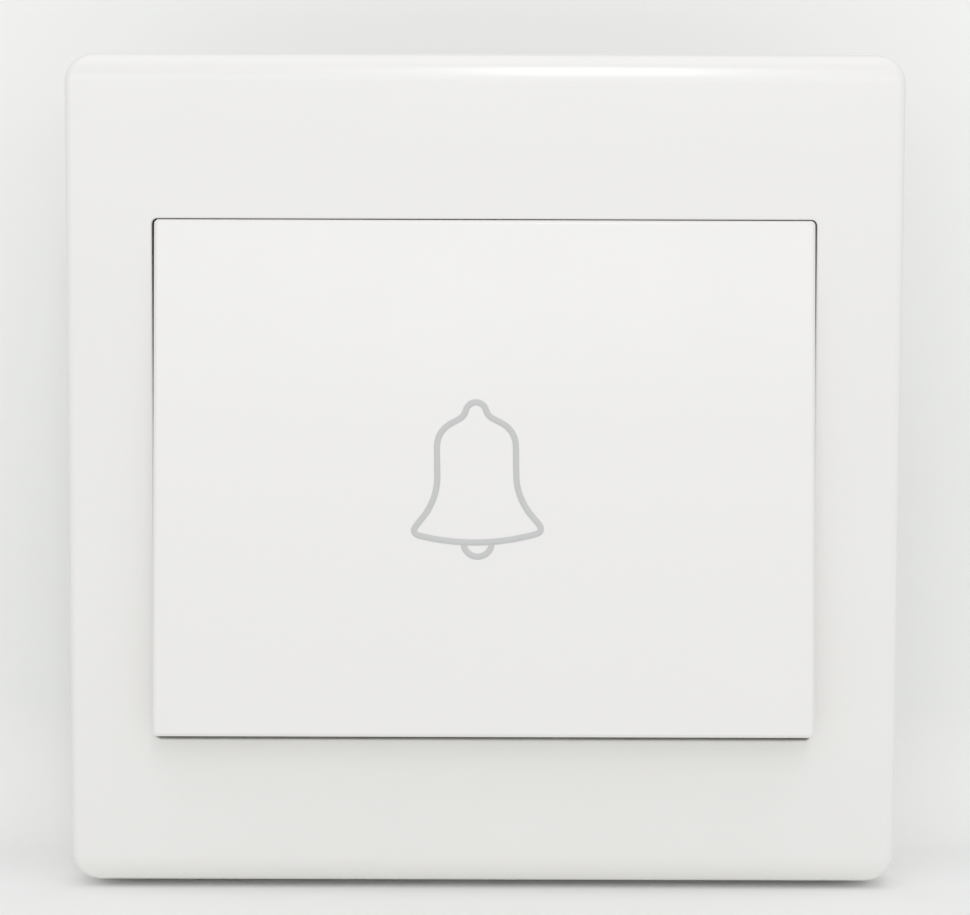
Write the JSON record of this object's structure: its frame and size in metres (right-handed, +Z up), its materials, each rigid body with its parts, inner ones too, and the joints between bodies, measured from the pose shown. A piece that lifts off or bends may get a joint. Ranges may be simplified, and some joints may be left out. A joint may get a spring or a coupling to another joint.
{
  "type": "doorbell push button",
  "caption": "Square flush wall plate with a large tilting key that pushes a sprung contact plunger, printed with a bell sign.",
  "frame": {"origin": "centre of the back rim of the frame, in the wall plane", "axes": "+X to the right and +Z up as seen from the front, +Y into the wall"},
  "size_m": [0.086, 0.0328, 0.086],
  "materials": {
    "white_gloss": "moulded, fine satin gloss",
    "white_matte": "moulded, matt",
    "housing_grey": "moulded, matt",
    "acetal_white": "moulded acetal",
    "print_grey": "pad printed line",
    "contact_brass": "stamped, bright",
    "contact_silver": "silver contact rivet",
    "spring_steel": "drawn wire",
    "zinc_steel": "bright zinc plated"
  },
  "bodies": {
    "base": {"cover_frame": "white_gloss", "base_plate": "white_matte", "rear_housing": "housing_grey", "return_spring": "spring_steel", "left_fixed_contact": "contact_silver", "right_fixed_contact": "contact_silver", "left_contact_strip": "contact_brass", "right_contact_strip": "contact_brass", "left_terminal_clamp": "contact_brass", "right_terminal_clamp": "contact_brass", "terminal_screws": "zinc_steel", "housing_screws": "zinc_steel"},
    "key": {"push_key": "white_gloss", "bell_print": "print_grey", "rocker_cradle": "white_matte"},
    "plunger": {"plunger": "acetal_white", "contact_bridge": "contact_brass", "left_bridge_contact": "contact_silver", "right_bridge_contact": "contact_silver"}
  },
  "joints": [
    {"name": "key_tilt", "type": "hinge", "parent": "base", "child": "key", "pos_m": [0, -0.0055, -0.0008], "axis": [1, 0, 0], "range_deg": [0, 7], "stiffness_Nm_per_rad": 0.08, "springref_deg": -3.44},
    {"name": "plunger_slide", "type": "slide", "parent": "base", "child": "plunger", "axis": [0, 1, 0], "range_m": [0, 0.00147], "deforming": ["return_spring"]}
  ],
  "couplings": [
    {"joint": "plunger_slide", "follows": "key_tilt", "m_per_rad": 0.011989}
  ]
}
